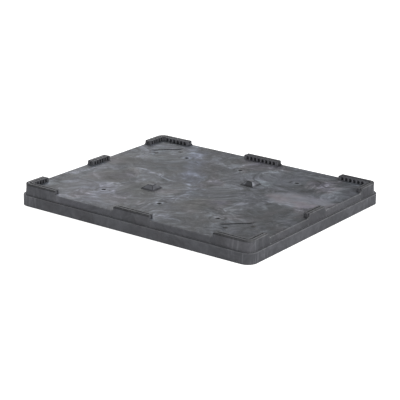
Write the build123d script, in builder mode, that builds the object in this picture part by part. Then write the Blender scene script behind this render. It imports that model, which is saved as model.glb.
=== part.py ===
from build123d import *
import os

os.makedirs("parts", exist_ok=True)

# ---------------------------------------------------------------- dimensions
LENGTH = 1200.0          # skirt, outside, along X
WIDTH = 1000.0           # skirt, outside, along Y
R_OUT = 46.0             # plan radius of the skirt's corners
Z_LEDGE = 47.5           # top of the skirt's flange, where the ledge shows
Z_DECK = 76.5            # top face of the deck
Z_TOP = 95.0             # top of the stops and of the centring pads

SKIRT_T = 5.0            # skirt wall
FLANGE_T = 5.0           # skirt flange
FLANGE_IN = 34.0         # flange's inner edge, measured in from the outside
FLANGE_R = 4.0           # plan radius of the flange's inner corners
GROOVE_OUT = 9.7         # groove for the foot of the rim wall
GROOVE_IN = 17.2
GROOVE_D = 2.0

RIM_FOOT = 9.87          # outside of the rim wall at its foot, measured in
RIM_TOP = 12.0           # and at the deck, after its draft
RIM_INNER = 17.0         # inside face of the rim wall
DECK_T = 6.0             # deck sheet
DECK_FILLET = 2.5        # rounded edge of the deck

STOP_WALL = 10.0         # stop wall behind the pockets, from its outside face
STOP_DEPTH = 31.0        # whole depth of a stop
STOP_PLATE = 3.5         # stop's top over the crowns of its pockets
STOP_R = 2.5             # rounded inner edge of a stop's top
STOP_END_R = 4.5         # rounded top corner of a stop's end
FLARE = 10.0             # hollow root radius where a stop's end meets the rim
RIB_T = 6.5              # gusset between two pockets
HALF_LONG = 91.0         # half length of a stop on a long side
HALF_SHORT = 59.5        # half length of a stop on a short side
CORNER_X = 411.0         # where a corner stop's long leg ends
CORNER_Y = 358.5         # where a corner stop's short leg ends
PITCH_LONG = 20.4        # pocket pitch along the long sides
PITCH_SHORT = 17.3       # pocket pitch along the short sides
N_LONG = 8               # pockets in a long-side stop
N_SHORT = 6              # pockets in a short-side stop
N_CORNER_X = 6           # pockets in a corner stop's long leg
N_CORNER_Y = 5           # pockets in its short leg
END_OUT = 10.5           # recess in a stop's end, from the outside face
END_IN = 26.5
END_D = 5.0
CLIP_T = 4.0             # lip that grips the deck from below
LIP_DEPTH = 21.0         # reach of the lip, from the stop's outside face
STOP_SEAT = 1.0          # how deep a stop is let into the deck
TOP_GROOVE_OUT = 2.5     # narrow groove along a stop's top, from its outside face
TOP_GROOVE_IN = 6.5
TOP_GROOVE_D = 3.0
TOP_SLOT_OUT = 15.5      # wide groove, which breaks into the pockets' crowns
TOP_SLOT_IN = 22.5
TOP_SLOT_D = 5.0
TOP_GROOVE_END = 6.0     # the grooves stop short of the stop's end
GAP = 0.05               # clearance at the slip joints
SEAM = 0.2               # clearance at a stop's end seams
EDGE_R = 1.5             # soft outside edge of a stop

PAD_X, PAD_Y = 151.0, 155.0   # centring pads, on one diagonal
PAD_BASE = 70.0
PAD_TOP_X, PAD_TOP_Y = 24.0, 18.0
PAD_SEAT = 1.5           # depth of the seat in the deck

HOLE_X, HOLE_Y = 299.0, 296.0  # drain holes
HOLE_R = 7.5
COLLAR_R = 12.0
COLLAR_H = 12.0

REC_X, REC_Y = 423.0, 323.0    # shallow corner recesses, turned 45 degrees
REC_L, REC_W, REC_D = 152.0, 87.0, 3.0
REC_FLOOR = 122.0              # floor length, between the ramps
WEEP_R = 3.0

BAR_W = 16.0             # stiffening bars under the deck
LONG_BAR_Y = (95.0, 225.0)
CROSS_BAR_X = (110.0, 325.0)
BAR_END = 20.0           # bar ends, measured in from the outside
BAR_FIT = 0.1            # half-lap clearance

WEB_T = 4.0              # moulded webs under the deck sheet
WEB_H = 12.0
WEB_END = 35.0           # web ends, measured in from the outside
WEB_X = (0.0, -218.0, 218.0, -420.0, 420.0, -500.0, 500.0)
WEB_Y = (0.0, -165.0, 165.0, -296.0, 296.0, -380.0, 380.0)

SKIRT_SCREW_IN = 23.0
SKIRT_SCREW_X = (165.0, 265.0, 375.0)
SKIRT_SCREW_Y = (150.0, 300.0)
BOSS_R = 6.5
STOP_SCREW_IN = 13.0     # from the stop's outside face
SHANK_R = 2.0            # stop screws
SHANK_BIG_R = 2.5        # all other screws
HEAD_R = 4.5
HEAD_H = 3.0

HX, HY = LENGTH / 2, WIDTH / 2
Z_FOOT = Z_LEDGE - GROOVE_D
Z_UNDER = Z_DECK - DECK_T        # underside of the deck sheet
Z_FLANGE = Z_LEDGE - FLANGE_T    # underside of the skirt flange
Z_HALF = (Z_LEDGE + Z_UNDER) / 2  # half-lap plane of the bars
Z_LIP = Z_UNDER - CLIP_T
Z_SEAT = Z_DECK - STOP_SEAT + GAP  # foot of a stop's body
Z_HEAD = Z_FLANGE + 0.2          # skirt screw heads, sunk in the flange

skirt_screw_at = (
    [(sx * x, sy * (HY - SKIRT_SCREW_IN)) for x in SKIRT_SCREW_X for sx in (-1, 1) for sy in (-1, 1)]
    + [(sx * (HX - SKIRT_SCREW_IN), sy * y) for y in SKIRT_SCREW_Y for sx in (-1, 1) for sy in (-1, 1)]
)
hole_at = [(x, sy * HOLE_Y) for x in (-HOLE_X, 0, HOLE_X) for sy in (-1, 1)]
pad_at = [(-PAD_X, -PAD_Y), (PAD_X, PAD_Y)]
rec_at = [(REC_X, -REC_Y), (-REC_X, REC_Y)]
pad_screw_at = [(x + d, y) for x, y in pad_at for d in (-15.0, 15.0)]

pocket_long = PITCH_LONG - RIB_T
pocket_short = PITCH_SHORT - RIB_T
crown = Z_TOP - STOP_PLATE
spring_long = crown - pocket_long / 2
spring_short = crown - pocket_short / 2
spring_end = crown - (END_IN - END_OUT) / 2
end_long = HALF_LONG - N_LONG * PITCH_LONG / 2 + RIB_T / 2    # solid end of a stop
end_short = HALF_SHORT - N_SHORT * PITCH_SHORT / 2 + RIB_T / 2
pockets_long = [(i - (N_LONG - 1) / 2) * PITCH_LONG for i in range(N_LONG)]
pockets_short = [(i - (N_SHORT - 1) / 2) * PITCH_SHORT for i in range(N_SHORT)]
pockets_corner_x = [CORNER_X + end_long + pocket_long / 2 + i * PITCH_LONG for i in range(N_CORNER_X)]
pockets_corner_y = [-(CORNER_Y + end_short + pocket_short / 2 + i * PITCH_SHORT) for i in range(N_CORNER_Y)]

# stop screws go up into gussets, midway between two pockets
long_screw_x = [pockets_long[0] + PITCH_LONG / 2, pockets_long[-1] - PITCH_LONG / 2]
short_screw_y = [pockets_short[0] + PITCH_SHORT / 2, pockets_short[-1] - PITCH_SHORT / 2]
Y_LONG_SCREW = HY - RIM_TOP - STOP_SCREW_IN
X_SHORT_SCREW = HX - RIM_TOP - STOP_SCREW_IN
corner_screw = (
    [(pockets_corner_x[i] + PITCH_LONG / 2, -Y_LONG_SCREW) for i in (0, N_CORNER_X - 2)]
    + [(X_SHORT_SCREW, pockets_corner_y[i] - PITCH_SHORT / 2) for i in (0, N_CORNER_Y - 2)]
)
stop_screw_at = (
    [(x, s * Y_LONG_SCREW) for x in long_screw_x for s in (-1, 1)]
    + [(s * X_SHORT_SCREW, y) for y in short_screw_y for s in (-1, 1)]
    + [(sx * x, sy * y) for x, y in corner_screw for sx in (-1, 1) for sy in (-1, 1)]
)

bar_cross_at = [(sx * x, sy * y) for x in CROSS_BAR_X for y in LONG_BAR_Y for sx in (-1, 1) for sy in (-1, 1)]
bar_end_at = (
    [(sx * 540.0, sy * y) for y in LONG_BAR_Y for sx in (-1, 1) for sy in (-1, 1)]
    + [(sx * x, sy * 440.0) for x in CROSS_BAR_X for sx in (-1, 1) for sy in (-1, 1)]
)

# ------------------------------------------------------------- skirt frame
with BuildPart() as skirt_frame:
    with BuildSketch():
        RectangleRounded(LENGTH, WIDTH, R_OUT)
    extrude(amount=Z_LEDGE)
    fillet(skirt_frame.faces().sort_by(Axis.Z)[-1].outer_wire().edges(), 2.0)
    fillet(skirt_frame.faces().sort_by(Axis.Z)[0].outer_wire().edges(), 1.0)
    with BuildSketch():
        RectangleRounded(LENGTH - 2 * SKIRT_T, WIDTH - 2 * SKIRT_T, R_OUT - SKIRT_T)
    extrude(amount=Z_FLANGE, mode=Mode.SUBTRACT)
    with BuildSketch(Plane.XY.offset(Z_FLANGE)):
        RectangleRounded(LENGTH - 2 * FLANGE_IN, WIDTH - 2 * FLANGE_IN, FLANGE_R)
    extrude(amount=FLANGE_T, mode=Mode.SUBTRACT)
    with BuildSketch(Plane.XY.offset(Z_FOOT - GAP)):
        RectangleRounded(LENGTH - 2 * GROOVE_OUT, WIDTH - 2 * GROOVE_OUT, R_OUT - GROOVE_OUT)
        RectangleRounded(LENGTH - 2 * GROOVE_IN, WIDTH - 2 * GROOVE_IN, R_OUT - GROOVE_IN, mode=Mode.SUBTRACT)
    extrude(amount=GROOVE_D + GAP, mode=Mode.SUBTRACT)
    with BuildSketch(Plane.XY.offset(Z_FLANGE)):
        with Locations(*skirt_screw_at):
            Circle(SHANK_BIG_R + 0.25)
    extrude(amount=FLANGE_T, mode=Mode.SUBTRACT)
    # counterbores, so that no head stands proud of the box rim's seat
    with BuildSketch(Plane.XY.offset(Z_FLANGE)):
        with Locations(*skirt_screw_at):
            Circle(HEAD_R + 0.4)
    extrude(amount=Z_HEAD + HEAD_H - Z_FLANGE, mode=Mode.SUBTRACT)
    # lead-in on the inside of the lower edge
    chamfer(skirt_frame.faces().sort_by(Axis.Z)[0].inner_wires()[0].edges(), 1.8)

# -------------------------------------------------------------- deck panel
with BuildPart() as deck_panel:
    with BuildSketch(Plane.XY.offset(Z_FOOT)):
        RectangleRounded(LENGTH - 2 * RIM_FOOT, WIDTH - 2 * RIM_FOOT, R_OUT - RIM_FOOT)
    with BuildSketch(Plane.XY.offset(Z_DECK)):
        RectangleRounded(LENGTH - 2 * RIM_TOP, WIDTH - 2 * RIM_TOP, R_OUT - RIM_TOP)
    loft(ruled=True)
    fillet(deck_panel.faces().sort_by(Axis.Z)[-1].outer_wire().edges(), DECK_FILLET)
    with BuildSketch(Plane.XY.offset(Z_FOOT)):
        RectangleRounded(LENGTH - 2 * RIM_INNER, WIDTH - 2 * RIM_INNER, R_OUT - RIM_INNER)
    extrude(amount=Z_UNDER - Z_FOOT, mode=Mode.SUBTRACT)
    # bosses for the skirt screws
    with BuildSketch(Plane.XY.offset(Z_LEDGE)):
        with Locations(*skirt_screw_at):
            Circle(BOSS_R)
    extrude(amount=Z_UNDER - Z_LEDGE)
    with BuildSketch(Plane.XY.offset(Z_LEDGE)):
        with Locations(*skirt_screw_at):
            Circle(SHANK_BIG_R + GAP)
    extrude(amount=20.0, mode=Mode.SUBTRACT)
    # moulded webs, left out where the bars lie
    with BuildSketch(Plane.XY.offset(Z_UNDER - WEB_H)):
        with Locations(*[(x, 0) for x in WEB_X]):
            Rectangle(WEB_T, WIDTH - 2 * WEB_END)
        with Locations(*[(0, y) for y in WEB_Y]):
            Rectangle(LENGTH - 2 * WEB_END, WEB_T)
        with Locations(*[(s * x, 0) for x in CROSS_BAR_X for s in (-1, 1)]):
            Rectangle(BAR_W + 1.0, WIDTH, mode=Mode.SUBTRACT)
        with Locations(*[(0, s * y) for y in LONG_BAR_Y for s in (-1, 1)]):
            Rectangle(LENGTH, BAR_W + 1.0, mode=Mode.SUBTRACT)
    extrude(amount=WEB_H)
    # collars round the drain holes, from below
    with BuildSketch(Plane.XY.offset(Z_UNDER - COLLAR_H)):
        with Locations(*hole_at):
            Circle(COLLAR_R)
    extrude(amount=COLLAR_H)
    with BuildSketch(Plane.XY.offset(Z_UNDER - COLLAR_H)):
        with Locations(*hole_at):
            Circle(HOLE_R)
    extrude(amount=COLLAR_H + DECK_T, mode=Mode.SUBTRACT)
    # small chamfered mouth of each drain hole
    chamfer(
        deck_panel.edges().filter_by(GeomType.CIRCLE).filter_by(
            lambda e: abs(e.radius - HOLE_R) < 0.01 and abs(e.center().Z - Z_DECK) < 0.01
        ),
        1.2,
    )
    # two corner recesses, on the diagonal the pads leave free: the sheet steps
    # down, with a ramp at each end, its thickness kept by a pad below
    with BuildSketch(Plane.XY.offset(Z_UNDER - REC_D)):
        with Locations(*rec_at):
            Rectangle(REC_L + 5.0, REC_W + 5.0, rotation=45.0)
    extrude(amount=REC_D)
    for place in rec_at:
        with BuildSketch(Plane.XY.offset(Z_DECK - REC_D)):
            with Locations(place):
                Rectangle(REC_FLOOR, REC_W, rotation=45.0)
        with BuildSketch(Plane.XY.offset(Z_DECK)):
            with Locations(place):
                Rectangle(REC_L, REC_W, rotation=45.0)
        loft(ruled=True, mode=Mode.SUBTRACT)
    # weep hole near the end of each recess
    with BuildSketch(Plane.XY.offset(Z_UNDER - REC_D)):
        with Locations((REC_X - 40.0, -REC_Y - 40.0), (-REC_X + 40.0, REC_Y + 40.0)):
            Circle(WEEP_R)
    extrude(amount=DECK_T + REC_D, mode=Mode.SUBTRACT)
    # seats and screw holes of the centring pads
    with BuildSketch(Plane.XY.offset(Z_DECK - PAD_SEAT)):
        with Locations(*pad_at):
            Rectangle(PAD_BASE + 0.6, PAD_BASE + 0.6)
    extrude(amount=PAD_SEAT, mode=Mode.SUBTRACT)
    with BuildSketch(Plane.XY.offset(Z_UNDER)):
        with Locations(*pad_screw_at):
            Circle(SHANK_BIG_R + 0.25)
    extrude(amount=DECK_T, mode=Mode.SUBTRACT)
    # blind pilots for the bar screws
    with BuildSketch(Plane.XY.offset(Z_UNDER)):
        with Locations(*(bar_cross_at + bar_end_at)):
            Circle(SHANK_BIG_R + GAP)
    extrude(amount=DECK_T - 1.5, mode=Mode.SUBTRACT)
    # screw holes of the stops
    with BuildSketch(Plane.XY.offset(Z_UNDER)):
        with Locations(*stop_screw_at):
            Circle(SHANK_R + 0.5)
    extrude(amount=DECK_T, mode=Mode.SUBTRACT)
    # notches in the rim wall, one for each stop, open to the outside
    half_x = HALF_LONG + FLARE + SEAM
    half_y = HALF_SHORT + FLARE + SEAM
    notch_in = RIM_INNER
    with BuildSketch(Plane.XY.offset(Z_FOOT)):
        with Locations((0, HY - notch_in / 2), (0, -HY + notch_in / 2)):
            Rectangle(2 * half_x, notch_in)
        with Locations((HX - notch_in / 2, 0), (-HX + notch_in / 2, 0)):
            Rectangle(notch_in, 2 * half_y)
    extrude(amount=Z_DECK - Z_FOOT, mode=Mode.SUBTRACT)
    corner_cut_x = CORNER_X - FLARE - SEAM
    corner_cut_y = CORNER_Y - FLARE - SEAM
    for sx in (-1, 1):
        for sy in (-1, 1):
            with BuildSketch(Plane.XY.offset(Z_FOOT)) as notch:
                RectangleRounded(LENGTH, WIDTH, R_OUT)
                RectangleRounded(
                    LENGTH - 2 * notch_in, WIDTH - 2 * notch_in, R_OUT - notch_in, mode=Mode.SUBTRACT
                )
                with Locations((sx * (corner_cut_x + HX) / 2, sy * (corner_cut_y + HY) / 2)):
                    Rectangle(HX - corner_cut_x, HY - corner_cut_y, mode=Mode.INTERSECT)
            extrude(amount=Z_DECK - Z_FOOT, mode=Mode.SUBTRACT)

    # seats that the stops are let into
    seat_in = RIM_TOP + STOP_DEPTH + 0.1
    with BuildSketch(Plane.XY.offset(Z_DECK - STOP_SEAT)):
        for s in (-1, 1):
            with Locations((0, s * (HY - (RIM_INNER - 1.0 + seat_in) / 2))):
                Rectangle(2 * HALF_LONG + 0.2, seat_in - RIM_INNER + 1.0)
            with Locations((s * (HX - (RIM_INNER - 1.0 + seat_in) / 2), 0)):
                Rectangle(seat_in - RIM_INNER + 1.0, 2 * HALF_SHORT + 0.2)
    extrude(amount=STOP_SEAT, mode=Mode.SUBTRACT)
    for sx in (-1, 1):
        for sy in (-1, 1):
            with BuildSketch(Plane.XY.offset(Z_DECK - STOP_SEAT)):
                RectangleRounded(
                    LENGTH - 2 * RIM_INNER + 2.0, WIDTH - 2 * RIM_INNER + 2.0, R_OUT - RIM_INNER + 1.0
                )
                RectangleRounded(
                    LENGTH - 2 * seat_in, WIDTH - 2 * seat_in, R_OUT - seat_in, mode=Mode.SUBTRACT
                )
                with Locations((sx * (CORNER_X - 0.1 + HX) / 2, sy * (CORNER_Y - 0.1 + HY) / 2)):
                    Rectangle(HX - CORNER_X + 0.1, HY - CORNER_Y + 0.1, mode=Mode.INTERSECT)
            extrude(amount=STOP_SEAT, mode=Mode.SUBTRACT)

# ------------------------------------------------- stops on the long sides
# The stop is a clip: its lip lies under the deck sheet and its ribbed body
# above, so it slides on from outside and is screwed from below.
with BuildPart() as side_stop_front:
    # wall panel that fills the notch, with the rim's draft
    with BuildSketch(Plane.YZ.offset(-(HALF_LONG + FLARE))):
        Polygon(
            (-HY + RIM_FOOT, Z_FOOT), (-HY + RIM_INNER - 2 * GAP, Z_FOOT),
            (-HY + RIM_INNER - 2 * GAP, Z_DECK), (-HY + RIM_TOP, Z_DECK), align=None,
        )
    extrude(amount=2 * (HALF_LONG + FLARE))
    # outside skin above the deck, with a hollow root at each end
    with BuildSketch(Plane(origin=(0, -HY + RIM_TOP, 0), x_dir=(1, 0, 0), z_dir=(0, -1, 0))):
        with BuildLine():
            Polyline(
                (-HALF_LONG - FLARE, Z_DECK - 1.0), (HALF_LONG + FLARE, Z_DECK - 1.0), (HALF_LONG + FLARE, Z_DECK)
            )
            RadiusArc((HALF_LONG + FLARE, Z_DECK), (HALF_LONG, Z_DECK + FLARE), FLARE)
            Line((HALF_LONG, Z_DECK + FLARE), (HALF_LONG, Z_TOP - STOP_END_R))
            RadiusArc((HALF_LONG, Z_TOP - STOP_END_R), (HALF_LONG - STOP_END_R, Z_TOP), -STOP_END_R)
            Line((HALF_LONG - STOP_END_R, Z_TOP), (-HALF_LONG + STOP_END_R, Z_TOP))
            RadiusArc((-HALF_LONG + STOP_END_R, Z_TOP), (-HALF_LONG, Z_TOP - STOP_END_R), -STOP_END_R)
            Line((-HALF_LONG, Z_TOP - STOP_END_R), (-HALF_LONG, Z_DECK + FLARE))
            RadiusArc((-HALF_LONG, Z_DECK + FLARE), (-HALF_LONG - FLARE, Z_DECK), FLARE)
            Line((-HALF_LONG - FLARE, Z_DECK), (-HALF_LONG - FLARE, Z_DECK - 1.0))
        make_face()
    extrude(amount=-(RIM_INNER - RIM_TOP - 2 * GAP))
    # body let into the deck, its inner top edge rounded
    with BuildSketch(Plane.YZ.offset(-HALF_LONG)):
        with BuildLine():
            Polyline(
                (-HY + RIM_TOP + 3.0, Z_TOP), (-HY + RIM_TOP + 3.0, Z_SEAT),
                (-HY + RIM_TOP + STOP_DEPTH, Z_SEAT), (-HY + RIM_TOP + STOP_DEPTH, Z_TOP - STOP_R),
            )
            RadiusArc(
                (-HY + RIM_TOP + STOP_DEPTH, Z_TOP - STOP_R), (-HY + RIM_TOP + STOP_DEPTH - STOP_R, Z_TOP), -STOP_R
            )
            Line((-HY + RIM_TOP + STOP_DEPTH - STOP_R, Z_TOP), (-HY + RIM_TOP + 3.0, Z_TOP))
        make_face()
    extrude(amount=2 * HALF_LONG)
    # arched pockets between the gussets, open to the inside
    with BuildSketch(Plane(origin=(0, -HY + RIM_TOP + STOP_WALL, 0), x_dir=(-1, 0, 0), z_dir=(0, 1, 0))):
        with Locations(*[(-x, (Z_SEAT - 1.0 + spring_long) / 2) for x in pockets_long]):
            Rectangle(pocket_long, spring_long - Z_SEAT + 1.0)
        with Locations(*[(-x, spring_long) for x in pockets_long]):
            Circle(pocket_long / 2)
    extrude(amount=STOP_DEPTH - STOP_WALL + 2.0, mode=Mode.SUBTRACT)
    # arched recess in each end
    for s in (-1, 1):
        with BuildSketch(Plane(origin=(s * (HALF_LONG - END_D), 0, 0), x_dir=(0, s, 0), z_dir=(s, 0, 0))):
            with Locations((s * (-HY + RIM_TOP + (END_OUT + END_IN) / 2), (Z_SEAT - 1.0 + spring_end) / 2)):
                Rectangle(END_IN - END_OUT, spring_end - Z_SEAT + 1.0)
            with Locations((s * (-HY + RIM_TOP + (END_OUT + END_IN) / 2), spring_end)):
                Circle((END_IN - END_OUT) / 2)
        extrude(amount=END_D + 1.0, mode=Mode.SUBTRACT)
    # lip under the deck
    with BuildSketch(Plane.XY.offset(Z_LIP)):
        with Locations((0, -HY + RIM_TOP + (LIP_DEPTH + 3.0) / 2)):
            Rectangle(2 * HALF_LONG - 4.0, LIP_DEPTH - 3.0)
    extrude(amount=CLIP_T - GAP)
    # round the ends over
    with BuildSketch(Plane(origin=(0, -HY + RIM_TOP - 5.0, 0), x_dir=(1, 0, 0), z_dir=(0, -1, 0))):
        for s in (-1, 1):
            with BuildLine():
                Polyline(
                    (s * (HALF_LONG - STOP_END_R), Z_TOP), (s * (HALF_LONG - STOP_END_R), Z_TOP + 2.0),
                    (s * (HALF_LONG + 2.0), Z_TOP + 2.0), (s * (HALF_LONG + 2.0), Z_TOP - STOP_END_R),
                    (s * HALF_LONG, Z_TOP - STOP_END_R),
                )
                RadiusArc(
                    (s * HALF_LONG, Z_TOP - STOP_END_R), (s * (HALF_LONG - STOP_END_R), Z_TOP), -s * STOP_END_R
                )
            make_face()
    extrude(amount=-40.0, mode=Mode.SUBTRACT)
    # soft outside edge along the top and down the ends
    fillet(
        side_stop_front.edges().filter_by(
            lambda e: abs(e.center().Y + HY - RIM_TOP) < 0.01
            and e.center().Z > Z_DECK + 0.5
            and e.bounding_box().size.Y < 0.01
        ),
        EDGE_R,
    )
    # grooves along the top
    with BuildSketch(Plane.XY.offset(Z_TOP - TOP_GROOVE_D)):
        with Locations((0, -HY + RIM_TOP + (TOP_GROOVE_OUT + TOP_GROOVE_IN) / 2)):
            SlotOverall(2 * (HALF_LONG - TOP_GROOVE_END), TOP_GROOVE_IN - TOP_GROOVE_OUT)
    extrude(amount=TOP_GROOVE_D, mode=Mode.SUBTRACT)
    with BuildSketch(Plane.XY.offset(Z_TOP - TOP_SLOT_D)):
        with Locations((0, -HY + RIM_TOP + (TOP_SLOT_OUT + TOP_SLOT_IN) / 2)):
            SlotOverall(2 * (HALF_LONG - TOP_GROOVE_END - END_D), TOP_SLOT_IN - TOP_SLOT_OUT)
    extrude(amount=TOP_SLOT_D, mode=Mode.SUBTRACT)
    # screw pilots, up into the outermost gussets
    with BuildSketch(Plane.XY.offset(Z_LIP)):
        with Locations(*[(x, -Y_LONG_SCREW) for x in long_screw_x]):
            Circle(SHANK_R + GAP)
    extrude(amount=20.0, mode=Mode.SUBTRACT)

with BuildPart() as side_stop_rear:
    mirror(side_stop_front.part, about=Plane.XZ)

# ------------------------------------------------ stops on the short sides
with BuildPart() as side_stop_right:
    with BuildSketch(Plane.XZ.offset(-(HALF_SHORT + FLARE))):
        Polygon(
            (HX - RIM_FOOT, Z_FOOT), (HX - RIM_INNER + 2 * GAP, Z_FOOT),
            (HX - RIM_INNER + 2 * GAP, Z_DECK), (HX - RIM_TOP, Z_DECK), align=None,
        )
    extrude(amount=2 * (HALF_SHORT + FLARE))
    with BuildSketch(Plane(origin=(HX - RIM_TOP, 0, 0), x_dir=(0, 1, 0), z_dir=(1, 0, 0))):
        with BuildLine():
            Polyline(
                (-HALF_SHORT - FLARE, Z_DECK - 1.0), (HALF_SHORT + FLARE, Z_DECK - 1.0), (HALF_SHORT + FLARE, Z_DECK)
            )
            RadiusArc((HALF_SHORT + FLARE, Z_DECK), (HALF_SHORT, Z_DECK + FLARE), FLARE)
            Line((HALF_SHORT, Z_DECK + FLARE), (HALF_SHORT, Z_TOP - STOP_END_R))
            RadiusArc((HALF_SHORT, Z_TOP - STOP_END_R), (HALF_SHORT - STOP_END_R, Z_TOP), -STOP_END_R)
            Line((HALF_SHORT - STOP_END_R, Z_TOP), (-HALF_SHORT + STOP_END_R, Z_TOP))
            RadiusArc((-HALF_SHORT + STOP_END_R, Z_TOP), (-HALF_SHORT, Z_TOP - STOP_END_R), -STOP_END_R)
            Line((-HALF_SHORT, Z_TOP - STOP_END_R), (-HALF_SHORT, Z_DECK + FLARE))
            RadiusArc((-HALF_SHORT, Z_DECK + FLARE), (-HALF_SHORT - FLARE, Z_DECK), FLARE)
            Line((-HALF_SHORT - FLARE, Z_DECK), (-HALF_SHORT - FLARE, Z_DECK - 1.0))
        make_face()
    extrude(amount=-(RIM_INNER - RIM_TOP - 2 * GAP))
    with BuildSketch(Plane.XZ.offset(-HALF_SHORT)):
        with BuildLine():
            Polyline(
                (HX - RIM_TOP - 3.0, Z_TOP), (HX - RIM_TOP - 3.0, Z_SEAT),
                (HX - RIM_TOP - STOP_DEPTH, Z_SEAT), (HX - RIM_TOP - STOP_DEPTH, Z_TOP - STOP_R),
            )
            RadiusArc(
                (HX - RIM_TOP - STOP_DEPTH, Z_TOP - STOP_R), (HX - RIM_TOP - STOP_DEPTH + STOP_R, Z_TOP), STOP_R
            )
            Line((HX - RIM_TOP - STOP_DEPTH + STOP_R, Z_TOP), (HX - RIM_TOP - 3.0, Z_TOP))
        make_face()
    extrude(amount=2 * HALF_SHORT)
    with BuildSketch(Plane(origin=(HX - RIM_TOP - STOP_WALL, 0, 0), x_dir=(0, -1, 0), z_dir=(-1, 0, 0))):
        with Locations(*[(-y, (Z_SEAT - 1.0 + spring_short) / 2) for y in pockets_short]):
            Rectangle(pocket_short, spring_short - Z_SEAT + 1.0)
        with Locations(*[(-y, spring_short) for y in pockets_short]):
            Circle(pocket_short / 2)
    extrude(amount=STOP_DEPTH - STOP_WALL + 2.0, mode=Mode.SUBTRACT)
    for s in (-1, 1):
        with BuildSketch(Plane(origin=(0, s * (HALF_SHORT - END_D), 0), x_dir=(-s, 0, 0), z_dir=(0, s, 0))):
            with Locations((-s * (HX - RIM_TOP - (END_OUT + END_IN) / 2), (Z_SEAT - 1.0 + spring_end) / 2)):
                Rectangle(END_IN - END_OUT, spring_end - Z_SEAT + 1.0)
            with Locations((-s * (HX - RIM_TOP - (END_OUT + END_IN) / 2), spring_end)):
                Circle((END_IN - END_OUT) / 2)
        extrude(amount=END_D + 1.0, mode=Mode.SUBTRACT)
    with BuildSketch(Plane.XY.offset(Z_LIP)):
        with Locations((HX - RIM_TOP - (LIP_DEPTH + 3.0) / 2, 0)):
            Rectangle(LIP_DEPTH - 3.0, 2 * HALF_SHORT - 4.0)
    extrude(amount=CLIP_T - GAP)
    with BuildSketch(Plane(origin=(HX - RIM_TOP + 5.0, 0, 0), x_dir=(0, 1, 0), z_dir=(1, 0, 0))):
        for s in (-1, 1):
            with BuildLine():
                Polyline(
                    (s * (HALF_SHORT - STOP_END_R), Z_TOP), (s * (HALF_SHORT - STOP_END_R), Z_TOP + 2.0),
                    (s * (HALF_SHORT + 2.0), Z_TOP + 2.0), (s * (HALF_SHORT + 2.0), Z_TOP - STOP_END_R),
                    (s * HALF_SHORT, Z_TOP - STOP_END_R),
                )
                RadiusArc(
                    (s * HALF_SHORT, Z_TOP - STOP_END_R), (s * (HALF_SHORT - STOP_END_R), Z_TOP), -s * STOP_END_R
                )
            make_face()
    extrude(amount=-40.0, mode=Mode.SUBTRACT)
    fillet(
        side_stop_right.edges().filter_by(
            lambda e: abs(e.center().X - HX + RIM_TOP) < 0.01
            and e.center().Z > Z_DECK + 0.5
            and e.bounding_box().size.X < 0.01
        ),
        EDGE_R,
    )
    with BuildSketch(Plane.XY.offset(Z_TOP - TOP_GROOVE_D)):
        with Locations((HX - RIM_TOP - (TOP_GROOVE_OUT + TOP_GROOVE_IN) / 2, 0)):
            SlotOverall(2 * (HALF_SHORT - TOP_GROOVE_END), TOP_GROOVE_IN - TOP_GROOVE_OUT, rotation=90)
    extrude(amount=TOP_GROOVE_D, mode=Mode.SUBTRACT)
    with BuildSketch(Plane.XY.offset(Z_TOP - TOP_SLOT_D)):
        with Locations((HX - RIM_TOP - (TOP_SLOT_OUT + TOP_SLOT_IN) / 2, 0)):
            SlotOverall(2 * (HALF_SHORT - TOP_GROOVE_END - END_D), TOP_SLOT_IN - TOP_SLOT_OUT, rotation=90)
    extrude(amount=TOP_SLOT_D, mode=Mode.SUBTRACT)
    with BuildSketch(Plane.XY.offset(Z_LIP)):
        with Locations(*[(X_SHORT_SCREW, y) for y in short_screw_y]):
            Circle(SHANK_R + GAP)
    extrude(amount=20.0, mode=Mode.SUBTRACT)

with BuildPart() as side_stop_left:
    mirror(side_stop_right.part, about=Plane.YZ)

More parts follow.
